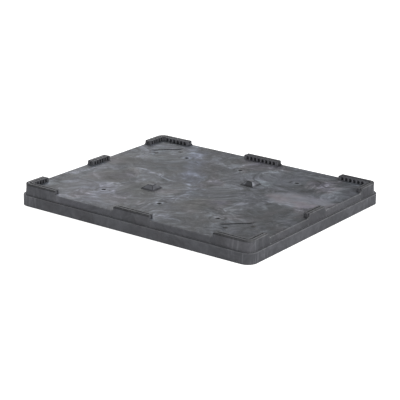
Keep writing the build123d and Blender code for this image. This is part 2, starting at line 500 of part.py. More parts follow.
# ------------------------------------------------------------ corner stops
with BuildPart() as corner_stop_front_right:
    # wall panel that fills the corner notch
    clip_x, clip_y = CORNER_X - FLARE, CORNER_Y - FLARE
    with BuildSketch(Plane.XY.offset(Z_FOOT)):
        RectangleRounded(LENGTH - 2 * RIM_FOOT, WIDTH - 2 * RIM_FOOT, R_OUT - RIM_FOOT)
        with Locations(((clip_x + HX) / 2, -(clip_y + HY) / 2)):
            Rectangle(HX - clip_x, HY - clip_y, mode=Mode.INTERSECT)
    with BuildSketch(Plane.XY.offset(Z_DECK)):
        RectangleRounded(LENGTH - 2 * RIM_TOP, WIDTH - 2 * RIM_TOP, R_OUT - RIM_TOP)
        with Locations(((clip_x + HX) / 2, -(clip_y + HY) / 2)):
            Rectangle(HX - clip_x, HY - clip_y, mode=Mode.INTERSECT)
    loft(ruled=True)
    # wall above the deck
    with BuildSketch(Plane.XY.offset(Z_DECK)):
        RectangleRounded(LENGTH - 2 * RIM_TOP, WIDTH - 2 * RIM_TOP, R_OUT - RIM_TOP)
        with Locations(((clip_x + HX) / 2, -(clip_y + HY) / 2)):
            Rectangle(HX - clip_x, HY - clip_y, mode=Mode.INTERSECT)
    extrude(amount=Z_TOP - Z_DECK)
    # hollow: outside skin below the deck top, the body's depth above it
    inner = RIM_INNER - 2 * GAP
    with BuildSketch(Plane.XY.offset(Z_FOOT)):
        RectangleRounded(LENGTH - 2 * inner, WIDTH - 2 * inner, R_OUT - inner)
    extrude(amount=Z_SEAT - Z_FOOT, mode=Mode.SUBTRACT)
    deep = RIM_TOP + STOP_DEPTH
    with BuildSketch(Plane.XY.offset(Z_SEAT)):
        RectangleRounded(LENGTH - 2 * deep, WIDTH - 2 * deep, R_OUT - deep)
    extrude(amount=Z_TOP - Z_SEAT, mode=Mode.SUBTRACT)
    # the body stops at the leg's end, short of the root
    with BuildSketch(Plane.XY.offset(Z_SEAT)):
        with Locations(((clip_x + CORNER_X) / 2, -HY + inner + 20.0)):
            Rectangle(FLARE, 40.0)
        with Locations((HX - inner - 20.0, -(clip_y + CORNER_Y) / 2)):
            Rectangle(40.0, FLARE)
    extrude(amount=Z_TOP - Z_SEAT, mode=Mode.SUBTRACT)
    # rounded inner top edge
    fillet(
        corner_stop_front_right.edges().filter_by(
            lambda e: abs(e.center().Z - Z_TOP) < 0.01
            and (
                (abs(e.center().Y + HY - deep) < 0.01 and e.bounding_box().size.Y < 0.01)
                or (abs(e.center().X - HX + deep) < 0.01 and e.bounding_box().size.X < 0.01)
                or (e.geom_type == GeomType.CIRCLE and abs(e.radius - (R_OUT - deep)) < 0.01)
            )
        ),
        STOP_R,
    )
    # arched pockets along both legs
    with BuildSketch(Plane(origin=(0, -HY + RIM_TOP + STOP_WALL, 0), x_dir=(-1, 0, 0), z_dir=(0, 1, 0))):
        with Locations(*[(-x, (Z_SEAT - 1.0 + spring_long) / 2) for x in pockets_corner_x]):
            Rectangle(pocket_long, spring_long - Z_SEAT + 1.0)
        with Locations(*[(-x, spring_long) for x in pockets_corner_x]):
            Circle(pocket_long / 2)
    extrude(amount=STOP_DEPTH - STOP_WALL + 2.0, mode=Mode.SUBTRACT)
    with BuildSketch(Plane(origin=(HX - RIM_TOP - STOP_WALL, 0, 0), x_dir=(0, -1, 0), z_dir=(-1, 0, 0))):
        with Locations(*[(-y, (Z_SEAT - 1.0 + spring_short) / 2) for y in pockets_corner_y]):
            Rectangle(pocket_short, spring_short - Z_SEAT + 1.0)
        with Locations(*[(-y, spring_short) for y in pockets_corner_y]):
            Circle(pocket_short / 2)
    extrude(amount=STOP_DEPTH - STOP_WALL + 2.0, mode=Mode.SUBTRACT)
    # arched recess in the end of each leg
    with BuildSketch(Plane(origin=(CORNER_X + END_D, 0, 0), x_dir=(0, -1, 0), z_dir=(-1, 0, 0))):
        with Locations((HY - RIM_TOP - (END_OUT + END_IN) / 2, (Z_SEAT - 1.0 + spring_end) / 2)):
            Rectangle(END_IN - END_OUT, spring_end - Z_SEAT + 1.0)
        with Locations((HY - RIM_TOP - (END_OUT + END_IN) / 2, spring_end)):
            Circle((END_IN - END_OUT) / 2)
    extrude(amount=END_D + 1.0, mode=Mode.SUBTRACT)
    with BuildSketch(Plane(origin=(0, -CORNER_Y - END_D, 0), x_dir=(-1, 0, 0), z_dir=(0, 1, 0))):
        with Locations((-HX + RIM_TOP + (END_OUT + END_IN) / 2, (Z_SEAT - 1.0 + spring_end) / 2)):
            Rectangle(END_IN - END_OUT, spring_end - Z_SEAT + 1.0)
        with Locations((-HX + RIM_TOP + (END_OUT + END_IN) / 2, spring_end)):
            Circle((END_IN - END_OUT) / 2)
    extrude(amount=END_D + 1.0, mode=Mode.SUBTRACT)
    # lip under the deck
    lip_in = RIM_TOP + LIP_DEPTH
    lip_x, lip_y = CORNER_X + 2.0, CORNER_Y + 2.0
    with BuildSketch(Plane.XY.offset(Z_LIP)):
        RectangleRounded(LENGTH - 2 * inner + 2.0, WIDTH - 2 * inner + 2.0, R_OUT - inner + 1.0)
        RectangleRounded(LENGTH - 2 * lip_in, WIDTH - 2 * lip_in, R_OUT - lip_in, mode=Mode.SUBTRACT)
        with Locations(((lip_x + HX) / 2, -(lip_y + HY) / 2)):
            Rectangle(HX - lip_x, HY - lip_y, mode=Mode.INTERSECT)
    extrude(amount=CLIP_T - GAP)
    # hollow root and rounded top corner at each end
    with BuildSketch(Plane(origin=(0, -HY + RIM_TOP - 5.0, 0), x_dir=(1, 0, 0), z_dir=(0, -1, 0))):
        with BuildLine():
            Polyline(
                (clip_x - 2.0, Z_DECK), (clip_x - 2.0, Z_TOP + 2.0),
                (CORNER_X + STOP_END_R, Z_TOP + 2.0), (CORNER_X + STOP_END_R, Z_TOP),
            )
            RadiusArc((CORNER_X + STOP_END_R, Z_TOP), (CORNER_X, Z_TOP - STOP_END_R), -STOP_END_R)
            Line((CORNER_X, Z_TOP - STOP_END_R), (CORNER_X, Z_DECK + FLARE))
            RadiusArc((CORNER_X, Z_DECK + FLARE), (clip_x, Z_DECK), FLARE)
            Line((clip_x, Z_DECK), (clip_x - 2.0, Z_DECK))
        make_face()
    extrude(amount=-40.0, mode=Mode.SUBTRACT)
    with BuildSketch(Plane(origin=(HX - RIM_TOP + 5.0, 0, 0), x_dir=(0, 1, 0), z_dir=(1, 0, 0))):
        with BuildLine():
            Polyline(
                (-clip_y + 2.0, Z_DECK), (-clip_y + 2.0, Z_TOP + 2.0),
                (-CORNER_Y - STOP_END_R, Z_TOP + 2.0), (-CORNER_Y - STOP_END_R, Z_TOP),
            )
            RadiusArc((-CORNER_Y - STOP_END_R, Z_TOP), (-CORNER_Y, Z_TOP - STOP_END_R), STOP_END_R)
            Line((-CORNER_Y, Z_TOP - STOP_END_R), (-CORNER_Y, Z_DECK + FLARE))
            RadiusArc((-CORNER_Y, Z_DECK + FLARE), (-clip_y, Z_DECK), -FLARE)
            Line((-clip_y, Z_DECK), (-clip_y + 2.0, Z_DECK))
        make_face()
    extrude(amount=-40.0, mode=Mode.SUBTRACT)
    # soft outside edge along the top and down the ends
    fillet(
        corner_stop_front_right.edges().filter_by(
            lambda e: e.center().Z > Z_DECK + 0.5
            and (
                (abs(e.center().Y + HY - RIM_TOP) < 0.01 and e.bounding_box().size.Y < 0.01)
                or (abs(e.center().X - HX + RIM_TOP) < 0.01 and e.bounding_box().size.X < 0.01)
                or (
                    e.geom_type == GeomType.CIRCLE
                    and abs(e.radius - (R_OUT - RIM_TOP)) < 0.01
                    and abs(e.center().Z - Z_TOP) < 0.01
                )
            )
        ),
        EDGE_R,
    )
    # grooves along the top, round the corner
    for g_a, g_b, g_d, g_end in (
        (TOP_GROOVE_OUT, TOP_GROOVE_IN, TOP_GROOVE_D, TOP_GROOVE_END),
        (TOP_SLOT_OUT, TOP_SLOT_IN, TOP_SLOT_D, TOP_GROOVE_END + END_D),
    ):
        g_out, g_in = RIM_TOP + g_a, RIM_TOP + g_b
        g_x, g_y = CORNER_X + g_end, CORNER_Y + g_end
        with BuildSketch(Plane.XY.offset(Z_TOP - g_d)):
            RectangleRounded(LENGTH - 2 * g_out, WIDTH - 2 * g_out, R_OUT - g_out)
            RectangleRounded(LENGTH - 2 * g_in, WIDTH - 2 * g_in, R_OUT - g_in, mode=Mode.SUBTRACT)
            with Locations(((g_x + HX) / 2, -(g_y + HY) / 2)):
                Rectangle(HX - g_x, HY - g_y, mode=Mode.INTERSECT)
        extrude(amount=g_d, mode=Mode.SUBTRACT)
    # screw pilots
    with BuildSketch(Plane.XY.offset(Z_LIP)):
        with Locations(*corner_screw):
            Circle(SHANK_R + GAP)
    extrude(amount=20.0, mode=Mode.SUBTRACT)

with BuildPart() as corner_stop_front_left:
    mirror(corner_stop_front_right.part, about=Plane.YZ)
with BuildPart() as corner_stop_rear_right:
    mirror(corner_stop_front_right.part, about=Plane.XZ)
with BuildPart() as corner_stop_rear_left:
    mirror(corner_stop_rear_right.part, about=Plane.YZ)

# ----------------------------------------------------------- centring pads
with BuildPart() as centring_pad_front:
    with BuildSketch(Plane.XY.offset(Z_DECK - PAD_SEAT)):
        with Locations(pad_at[0]):
            Rectangle(PAD_BASE, PAD_BASE)
    extrude(amount=PAD_SEAT)
    with BuildSketch(Plane.XY.offset(Z_DECK)):
        with Locations(pad_at[0]):
            Rectangle(PAD_BASE, PAD_BASE)
    with BuildSketch(Plane.XY.offset(Z_TOP)):
        with Locations(pad_at[0]):
            Rectangle(PAD_TOP_X, PAD_TOP_Y)
    loft(ruled=True)
    fillet(centring_pad_front.faces().sort_by(Axis.Z)[-1].edges(), 1.2)
    with BuildSketch(Plane.XY.offset(Z_DECK - PAD_SEAT)):
        with Locations(*pad_screw_at[:2]):
            Circle(SHANK_BIG_R + GAP)
    extrude(amount=9.0, mode=Mode.SUBTRACT)

with BuildPart() as centring_pad_rear:
    mirror(mirror(centring_pad_front.part, about=Plane.XZ, mode=Mode.PRIVATE), about=Plane.YZ)

# --------------------------------------------------------- stiffening bars
half_long_bar = HX - BAR_END
half_cross_bar = HY - BAR_END
with BuildPart() as long_bar_front_outer:
    with BuildSketch(Plane.XY.offset(Z_LEDGE)):
        with Locations((0, -LONG_BAR_Y[1])):
            Rectangle(2 * half_long_bar, BAR_W)
    extrude(amount=Z_UNDER - Z_LEDGE)
    with BuildSketch(Plane.XY.offset(Z_LEDGE)):
        with Locations(*[(s * x, -LONG_BAR_Y[1]) for x in CROSS_BAR_X for s in (-1, 1)]):
            Rectangle(BAR_W + 2 * BAR_FIT, BAR_W + 1.0)
    extrude(amount=Z_HALF - Z_LEDGE, mode=Mode.SUBTRACT)
    with BuildSketch(Plane.XY.offset(Z_LEDGE)):
        with Locations(*[p for p in bar_cross_at + bar_end_at if p[1] == -LONG_BAR_Y[1]]):
            Circle(SHANK_BIG_R + 0.25)
    extrude(amount=Z_UNDER - Z_LEDGE, mode=Mode.SUBTRACT)
    with BuildSketch(Plane.XY.offset(Z_LEDGE)):
        with Locations(*[p for p in bar_end_at if p[1] == -LONG_BAR_Y[1]]):
            Circle(HEAD_R + 0.4)
    extrude(amount=HEAD_H + 3.0, mode=Mode.SUBTRACT)

with BuildPart() as long_bar_front_inner:
    add(long_bar_front_outer.part.moved(Location((0, LONG_BAR_Y[1] - LONG_BAR_Y[0], 0))))
with BuildPart() as long_bar_rear_outer:
    mirror(long_bar_front_outer.part, about=Plane.XZ)
with BuildPart() as long_bar_rear_inner:
    mirror(long_bar_front_inner.part, about=Plane.XZ)

with BuildPart() as cross_bar_left_outer:
    with BuildSketch(Plane.XY.offset(Z_LEDGE)):
        with Locations((-CROSS_BAR_X[1], 0)):
            Rectangle(BAR_W, 2 * half_cross_bar)
    extrude(amount=Z_UNDER - Z_LEDGE)
    with BuildSketch(Plane.XY.offset(Z_HALF - 2 * BAR_FIT)):
        with Locations(*[(-CROSS_BAR_X[1], s * y) for y in LONG_BAR_Y for s in (-1, 1)]):
            Rectangle(BAR_W + 1.0, BAR_W + 2 * BAR_FIT)
    extrude(amount=Z_UNDER - Z_HALF + 2 * BAR_FIT, mode=Mode.SUBTRACT)
    with BuildSketch(Plane.XY.offset(Z_LEDGE)):
        with Locations(*[p for p in bar_cross_at + bar_end_at if p[0] == -CROSS_BAR_X[1]]):
            Circle(SHANK_BIG_R + 0.25)
    extrude(amount=Z_UNDER - Z_LEDGE, mode=Mode.SUBTRACT)
    with BuildSketch(Plane.XY.offset(Z_LEDGE)):
        with Locations(*[p for p in bar_cross_at + bar_end_at if p[0] == -CROSS_BAR_X[1]]):
            Circle(HEAD_R + 0.4)
    extrude(amount=HEAD_H + 3.0, mode=Mode.SUBTRACT)

with BuildPart() as cross_bar_left_inner:
    add(cross_bar_left_outer.part.moved(Location((CROSS_BAR_X[1] - CROSS_BAR_X[0], 0, 0))))
with BuildPart() as cross_bar_right_outer:
    mirror(cross_bar_left_outer.part, about=Plane.YZ)
with BuildPart() as cross_bar_right_inner:
    mirror(cross_bar_left_inner.part, about=Plane.YZ)

# ------------------------------------------------------------------ screws
# pan heads with a cross recess, driven from below
with BuildPart() as skirt_screws:
    with BuildSketch(Plane.XY.offset(Z_HEAD)):
        with Locations(*skirt_screw_at):
            Circle(HEAD_R)
    extrude(amount=HEAD_H)
    chamfer(skirt_screws.edges().group_by(Axis.Z)[0], 0.9)
    with BuildSketch(Plane.XY.offset(Z_HEAD + HEAD_H)):
        with Locations(*skirt_screw_at):
            Circle(SHANK_BIG_R)
    extrude(amount=FLANGE_T - HEAD_H + 17.8)
    with BuildSketch(Plane.XY.offset(Z_HEAD)):
        with Locations(*skirt_screw_at):
            Rectangle(4.6, 1.2)
            Rectangle(1.2, 4.6)
    extrude(amount=1.8, mode=Mode.SUBTRACT)

with BuildPart() as stop_screws:
    with BuildSketch(Plane.XY.offset(Z_LIP - HEAD_H)):
        with Locations(*stop_screw_at):
            Circle(HEAD_R - 1.0)
    extrude(amount=HEAD_H)
    chamfer(stop_screws.edges().group_by(Axis.Z)[0], 0.7)
    with BuildSketch(Plane.XY.offset(Z_LIP)):
        with Locations(*stop_screw_at):
            Circle(SHANK_R)
    extrude(amount=19.0)
    with BuildSketch(Plane.XY.offset(Z_LIP - HEAD_H)):
        with Locations(*stop_screw_at):
            Rectangle(3.8, 1.0)
            Rectangle(1.0, 3.8)
    extrude(amount=1.6, mode=Mode.SUBTRACT)

with BuildPart() as bar_screws:
    with BuildSketch(Plane.XY.offset(Z_LEDGE + 3.0)):
        with Locations(*(bar_cross_at + bar_end_at)):
            Circle(HEAD_R)
    extrude(amount=HEAD_H)
    chamfer(bar_screws.edges().group_by(Axis.Z)[0], 0.9)
    with BuildSketch(Plane.XY.offset(Z_LEDGE + 3.0 + HEAD_H)):
        with Locations(*(bar_cross_at + bar_end_at)):
            Circle(SHANK_BIG_R)
    extrude(amount=Z_UNDER - Z_LEDGE - 3.0 - HEAD_H + DECK_T - 2.0)
    with BuildSketch(Plane.XY.offset(Z_LEDGE + 3.0)):
        with Locations(*(bar_cross_at + bar_end_at)):
            Rectangle(4.6, 1.2)
            Rectangle(1.2, 4.6)
    extrude(amount=1.8, mode=Mode.SUBTRACT)

with BuildPart() as pad_screws:
    with BuildSketch(Plane.XY.offset(Z_UNDER - HEAD_H)):
        with Locations(*pad_screw_at):
            Circle(HEAD_R)
    extrude(amount=HEAD_H)
    chamfer(pad_screws.edges().group_by(Axis.Z)[0], 0.9)
    with BuildSketch(Plane.XY.offset(Z_UNDER)):
        with Locations(*pad_screw_at):
            Circle(SHANK_BIG_R)
    extrude(amount=DECK_T - PAD_SEAT + 8.5)
    with BuildSketch(Plane.XY.offset(Z_UNDER - HEAD_H)):
        with Locations(*pad_screw_at):
            Rectangle(4.6, 1.2)
            Rectangle(1.2, 4.6)
    extrude(amount=1.8, mode=Mode.SUBTRACT)

# ----------------------------------------------------------------- writing
skirt_frame.part.label = "skirt_frame"
export_step(skirt_frame.part, "parts/skirt_frame.step")
deck_panel.part.label = "deck_panel"
export_step(deck_panel.part, "parts/deck_panel.step")
side_stop_front.part.label = "side_stop_front"
export_step(side_stop_front.part, "parts/side_stop_front.step")
side_stop_rear.part.label = "side_stop_rear"
export_step(side_stop_rear.part, "parts/side_stop_rear.step")
side_stop_right.part.label = "side_stop_right"
export_step(side_stop_right.part, "parts/side_stop_right.step")
side_stop_left.part.label = "side_stop_left"
export_step(side_stop_left.part, "parts/side_stop_left.step")
corner_stop_front_right.part.label = "corner_stop_front_right"
export_step(corner_stop_front_right.part, "parts/corner_stop_front_right.step")
corner_stop_front_left.part.label = "corner_stop_front_left"
export_step(corner_stop_front_left.part, "parts/corner_stop_front_left.step")
corner_stop_rear_right.part.label = "corner_stop_rear_right"
export_step(corner_stop_rear_right.part, "parts/corner_stop_rear_right.step")
corner_stop_rear_left.part.label = "corner_stop_rear_left"
export_step(corner_stop_rear_left.part, "parts/corner_stop_rear_left.step")
centring_pad_front.part.label = "centring_pad_front"
export_step(centring_pad_front.part, "parts/centring_pad_front.step")
centring_pad_rear.part.label = "centring_pad_rear"
export_step(centring_pad_rear.part, "parts/centring_pad_rear.step")
long_bar_front_outer.part.label = "long_bar_front_outer"
export_step(long_bar_front_outer.part, "parts/long_bar_front_outer.step")
long_bar_front_inner.part.label = "long_bar_front_inner"
export_step(long_bar_front_inner.part, "parts/long_bar_front_inner.step")
long_bar_rear_inner.part.label = "long_bar_rear_inner"
export_step(long_bar_rear_inner.part, "parts/long_bar_rear_inner.step")
long_bar_rear_outer.part.label = "long_bar_rear_outer"
export_step(long_bar_rear_outer.part, "parts/long_bar_rear_outer.step")
cross_bar_left_outer.part.label = "cross_bar_left_outer"
export_step(cross_bar_left_outer.part, "parts/cross_bar_left_outer.step")
cross_bar_left_inner.part.label = "cross_bar_left_inner"
export_step(cross_bar_left_inner.part, "parts/cross_bar_left_inner.step")
cross_bar_right_inner.part.label = "cross_bar_right_inner"
export_step(cross_bar_right_inner.part, "parts/cross_bar_right_inner.step")
cross_bar_right_outer.part.label = "cross_bar_right_outer"
export_step(cross_bar_right_outer.part, "parts/cross_bar_right_outer.step")
skirt_screws.part.label = "skirt_screws"
export_step(skirt_screws.part, "parts/skirt_screws.step")
stop_screws.part.label = "stop_screws"
export_step(stop_screws.part, "parts/stop_screws.step")
bar_screws.part.label = "bar_screws"
export_step(bar_screws.part, "parts/bar_screws.step")
pad_screws.part.label = "pad_screws"
export_step(pad_screws.part, "parts/pad_screws.step")
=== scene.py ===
import bpy
import math
from mathutils import Matrix, Vector

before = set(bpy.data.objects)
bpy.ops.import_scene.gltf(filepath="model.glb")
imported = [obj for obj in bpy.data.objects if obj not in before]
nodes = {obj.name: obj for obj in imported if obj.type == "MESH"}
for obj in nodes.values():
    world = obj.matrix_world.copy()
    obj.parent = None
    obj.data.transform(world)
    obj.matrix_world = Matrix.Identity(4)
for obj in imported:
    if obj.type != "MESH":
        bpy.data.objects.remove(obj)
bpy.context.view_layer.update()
scene = bpy.context.scene


# --------------------------------------------------------------- node helper
class Net:
    """Short way to write a material's node tree."""

    def __init__(self, name):
        self.mat = bpy.data.materials.new(name)
        self.mat.use_nodes = True
        self.t = self.mat.node_tree
        self.t.nodes.clear()
        self.out = self.t.nodes.new("ShaderNodeOutputMaterial")

    def put(self, sock, val):
        if isinstance(val, bpy.types.NodeSocket):
            self.t.links.new(val, sock)
        else:
            sock.default_value = val

    def node(self, kind, ins=None, **props):
        n = self.t.nodes.new(kind)
        for k, v in props.items():
            setattr(n, k, v)
        for k, v in (ins or {}).items():
            self.put(n.inputs[k], v)
        return n

    def m(self, op, a, b=0.0, c=0.0, clamp=False):
        n = self.node("ShaderNodeMath", operation=op, use_clamp=clamp)
        self.put(n.inputs[0], a)
        self.put(n.inputs[1], b)
        self.put(n.inputs[2], c)
        return n.outputs[0]

    def v(self, op, a, b=(0, 0, 0), s=None):
        n = self.node("ShaderNodeVectorMath", operation=op)
        self.put(n.inputs[0], a)
        self.put(n.inputs[1], b)
        if s is not None:
            self.put(n.inputs["Scale"], s)
        return n.outputs["Value"] if op in ("LENGTH", "DOT_PRODUCT", "DISTANCE") else n.outputs["Vector"]

    def ramp(self, fac, stops, interp="LINEAR"):
        n = self.node("ShaderNodeValToRGB", {"Fac": fac})
        cr = n.color_ramp
        cr.interpolation = interp
        while len(cr.elements) > 1:
            cr.elements.remove(cr.elements[-1])
        cr.elements[0].position = stops[0][0]
        cr.elements[0].color = self.rgba(stops[0][1])
        for p, c in stops[1:]:
            e = cr.elements.new(p)
            e.color = self.rgba(c)
        return n.outputs["Color"]

    @staticmethod
    def rgba(c):
        return (c, c, c, 1.0) if isinstance(c, (int, float)) else (*c, 1.0)

    def rng(self, x, a, b, c=0.0, d=1.0, smooth=False):
        n = self.node("ShaderNodeMapRange", {"Value": x, "From Min": a, "From Max": b, "To Min": c, "To Max": d},
                      interpolation_type="SMOOTHSTEP" if smooth else "LINEAR", clamp=True)
        return n.outputs["Result"]

    def noise(self, vec, scale, detail=2.0, rough=0.5, dist=0.0, kind="FBM", color=False):
        n = self.node("ShaderNodeTexNoise", {"Vector": vec, "Scale": scale, "Detail": detail, "Roughness": rough,
                                             "Distortion": dist}, noise_dimensions="3D", noise_type=kind)
        return n.outputs["Color"] if color else n.outputs["Fac"]

    def mixc(self, fac, a, b, blend="MIX"):
        n = self.node("ShaderNodeMix", data_type="RGBA", blend_type=blend)
        self.put(n.inputs[0], fac)
        self.put(n.inputs[6], a if isinstance(a, bpy.types.NodeSocket) else self.rgba(a))
        self.put(n.inputs[7], b if isinstance(b, bpy.types.NodeSocket) else self.rgba(b))
        return n.outputs[2]

    def mixf(self, fac, a, b):
        n = self.node("ShaderNodeMix", data_type="FLOAT")
        self.put(n.inputs[0], fac)
        self.put(n.inputs[2], a)
        self.put(n.inputs[3], b)
        return n.outputs[0]


def comb(net, x, y, z):
    n = net.node("ShaderNodeCombineXYZ")
    for i, s in enumerate((x, y, z)):
        net.put(n.inputs[i], s)
    return n.outputs[0]


BASE = 0.068
GATES = [(-0.299, -0.296), (0.0, -0.296), (0.299, -0.296), (-0.299, 0.296), (0.0, 0.296), (0.299, 0.296)]

# Where one charge of regrind shows more than the next on the deck: centre,
# half sizes, turn in degrees, edge softness, tone step, how even it is and tint.
PATCHES = [
    ((0.360, 0.330), (0.330, 0.220), 0.0, 0.60, 0.16, 0.0, (1.0, 1.0, 1.0)),
    ((0.130, 0.110), (0.200, 0.150), 0.0, 0.60, 0.11, 0.0, (1.0, 1.0, 1.0)),
    ((0.245, 0.310), (0.120, 0.090), 10.0, 0.60, 0.02, 0.50, (1.0, 1.0, 1.0)),
    ((-0.450, 0.360), (0.120, 0.120), 0.0, 0.60, -0.06, 0.0, (1.0, 1.0, 1.0)),
    ((-0.200, -0.360), (0.190, 0.130), 0.0, 0.60, -0.15, 0.0, (1.0, 1.0, 1.0)),
    ((0.420, 0.105), (0.135, 0.090), 4.0, 0.22, 0.34, 0.75, (1.04, 0.985, 0.99)),
    ((0.465, -0.130), (0.135, 0.115), 0.0, 0.35, -0.15, 0.40, (1.0, 1.0, 0.99)),
    ((0.470, -0.370), (0.100, 0.110), 0.0, 0.45, -0.14, 0.20, (1.0, 1.0, 1.0)),
    ((-0.305, -0.340), (0.150, 0.130), 10.0, 0.60, 0.22, 0.0, (1.01, 0.985, 1.05)),
    ((-0.175, 0.190), (0.050, 0.310), 35.0, 0.70, 0.16, 0.0, (0.94, 0.985, 1.12)),
    ((-0.300, 0.150), (0.110, 0.075), -20.0, 0.55, -0.22, 0.20, (0.96, 1.01, 1.03)),
    ((-0.120, 0.230), (0.060, 0.080), 15.0, 0.50, -0.24, 0.20, (1.05, 0.99, 0.97)),
    ((0.350, 0.220), (0.100, 0.050), 15.0, 0.60, -0.24, 0.20, (1.0, 1.0, 1.0)),
    ((-0.500, 0.090), (0.080, 0.100), 25.0, 0.40, -0.22, 0.20, (1.02, 1.0, 0.98)),
    ((0.130, -0.190), (0.050, 0.080), 20.0, 0.60, -0.08, 0.0, (1.02, 1.03, 0.94)),
    ((-0.190, -0.210), (0.070, 0.050), 0.0, 0.60, -0.06, 0.0, (1.02, 1.03, 0.94)),
]


def recycled(name, tone=1.0, deck=False, grain=1.0, seed=0.0, dust_and_edge_light=1.0, contrast=1.0, pad=False, side=1.0, crease_shade_amount=0.5,
             stop=False):
    """Marbled recycled polyolefin: a dark grey melt with paler and darker
    streaks folded into it, fine scuffs on upward faces, painted edge highlights and painted crease shade."""
    net = Net(name)
    pos = net.node("ShaderNodeTexCoord").outputs["Object"]
    geo = net.node("ShaderNodeNewGeometry")
    pos_s = net.v("ADD", pos, (seed, seed * 0.7, seed * 1.3))
    sep = net.node("ShaderNodeSeparateXYZ", {"Vector": pos})
    x, y, z = sep.outputs
    nsep = net.node("ShaderNodeSeparateXYZ", {"Vector": geo.outputs["True Normal"]})
    up = net.rng(nsep.outputs[2], 0.6, 0.98, smooth=True)

    # how far in from the outside face of the rim, round its corners too
    qx = net.m("SUBTRACT", net.m("ABSOLUTE", x), 0.554)
    qy = net.m("SUBTRACT", net.m("ABSOLUTE", y), 0.454)
    lx, ly = net.m("MAXIMUM", qx, 0.0), net.m("MAXIMUM", qy, 0.0)
    far = net.m("SQRT", net.m("ADD", net.m("MULTIPLY", lx, lx), net.m("MULTIPLY", ly, ly)))
    inset = net.m("SUBTRACT", 0.034, net.m("ADD", far, net.m("MINIMUM", net.m("MAXIMUM", qx, qy), 0.0)))

    def warp(p, scale, amp, detail=2.0):
        w = net.v("SUBTRACT", net.noise(p, scale, detail, 0.5, color=True), (0.5, 0.5, 0.5))
        return net.v("ADD", p, net.v("SCALE", w, s=amp))

    def part(value, weight):
        return net.m("MULTIPLY", net.m("SUBTRACT", value, 0.5), weight)

    # the melt folds over itself: three rounds of domain warp
    p1 = warp(pos_s, 2.3, 0.30)
    p2 = warp(p1, 7.5, 0.11)
    p3 = warp(p2, 22.0, 0.030)

    broad = net.noise(p1, 3.4, 2.0, 0.5)
    # folded sheets: pale on one side of the fold, a crisp dark lip on the other
    fold = net.m("FRACT", net.m("MULTIPLY", net.noise(net.v("ADD", p2, (0.37, 0.83, 0.21)), 3.1, 1.5, 0.5), 9.0))
    fold = net.node("ShaderNodeFloatCurve", {"Value": fold}).outputs[0]
    cur = fold.node.mapping.curves[0]
    cur.points[0].location = (0.0, 0.25)
    cur.points[1].location = (1.0, 0.25)
    for px, py in ((0.08, 0.22), (0.45, 0.50), (0.80, 0.78), (0.93, 0.86)):
        cur.points.new(px, py)
    fold.node.mapping.update()
    swirl = net.noise(p3, 12.0, 4.0, 0.55)
    # drawn-out streaks that follow the flow
    st = net.node("ShaderNodeVectorRotate", {"Vector": p2, "Angle": math.radians(-28.0)}, rotation_type="Z_AXIS")
    stv = net.v("MULTIPLY", st.outputs[0], (9.0, 42.0, 30.0))
    streak = net.noise(stv, 1.0, 4.0, 0.6)
    vein = net.noise(p3, 30.0, 4.0, 0.6)
    mott = net.noise(p2, 85.0, 3.0, 0.6)
    fine = net.noise(pos_s, 420.0, 3.0, 0.65)

    # hair-thin veins where two sheets of the melt meet, pale in one set, dark in the other
    def ridge(p, scale, sharp, lo, hi, off):
        n = net.m("MULTIPLY", net.m("ABSOLUTE", net.m("SUBTRACT", net.noise(p, scale, 3.0, 0.55), 0.5)), sharp)
        line = net.rng(n, 0.0, 1.0, 1.0, 0.0, smooth=True)
        where = net.rng(net.noise(net.v("ADD", p1, (off, off, 0.0)), 6.0, 2.0, 0.5), lo, hi, smooth=True)
        return net.m("MULTIPLY", line, where)

    pale = ridge(net.v("MULTIPLY", st.outputs[0], (0.55, 1.35, 1.0)), 8.0, 34.0, 0.46, 0.62, 2.0)
    dark = ridge(net.v("MULTIPLY", p2, (0.8, 1.2, 1.0)), 6.5, 26.0, 0.44, 0.60, 5.0)
    sheet = net.rng(net.noise(net.v("ADD", p2, (0.7, 0.3, 0.0)), 5.2, 1.5, 0.5), 0.47, 0.53, smooth=True)

    tone_v = part(broad, 0.50)
    for value, weight in ((fold, 0.24), (swirl, 0.95), (streak, 1.15), (vein, 1.05), (mott, 0.55), (fine, 0.12),
                          (sheet, 0.26)):
        tone_v = net.m("ADD", tone_v, part(value, weight))
    tone_v = net.m("ADD", tone_v, net.m("MULTIPLY", pale, 0.34))
    tone_v = net.m("ADD", tone_v, net.m("MULTIPLY", dark, -0.24))

    hue = net.noise(net.v("ADD", p1, (3.7, 1.1, 0.4)), 5.0, 2.0, 0.5)
    tint = net.ramp(hue, [(0.28, (0.88, 1.00, 1.14)), (0.42, (0.93, 0.985, 1.18)), (0.52, (0.91, 0.995, 1.14)),
                          (0.60, (1.00, 0.99, 1.11)), (0.72, (0.97, 0.95, 1.22))])
    # walls are a plainer grey than the deck
    plain = net.mixf(up, 1.0, 0.0 if deck else 0.75)
    tint = net.mixc(net.m("MULTIPLY", plain, 0.80), tint, (0.995, 1.0, 1.09))
    if deck:
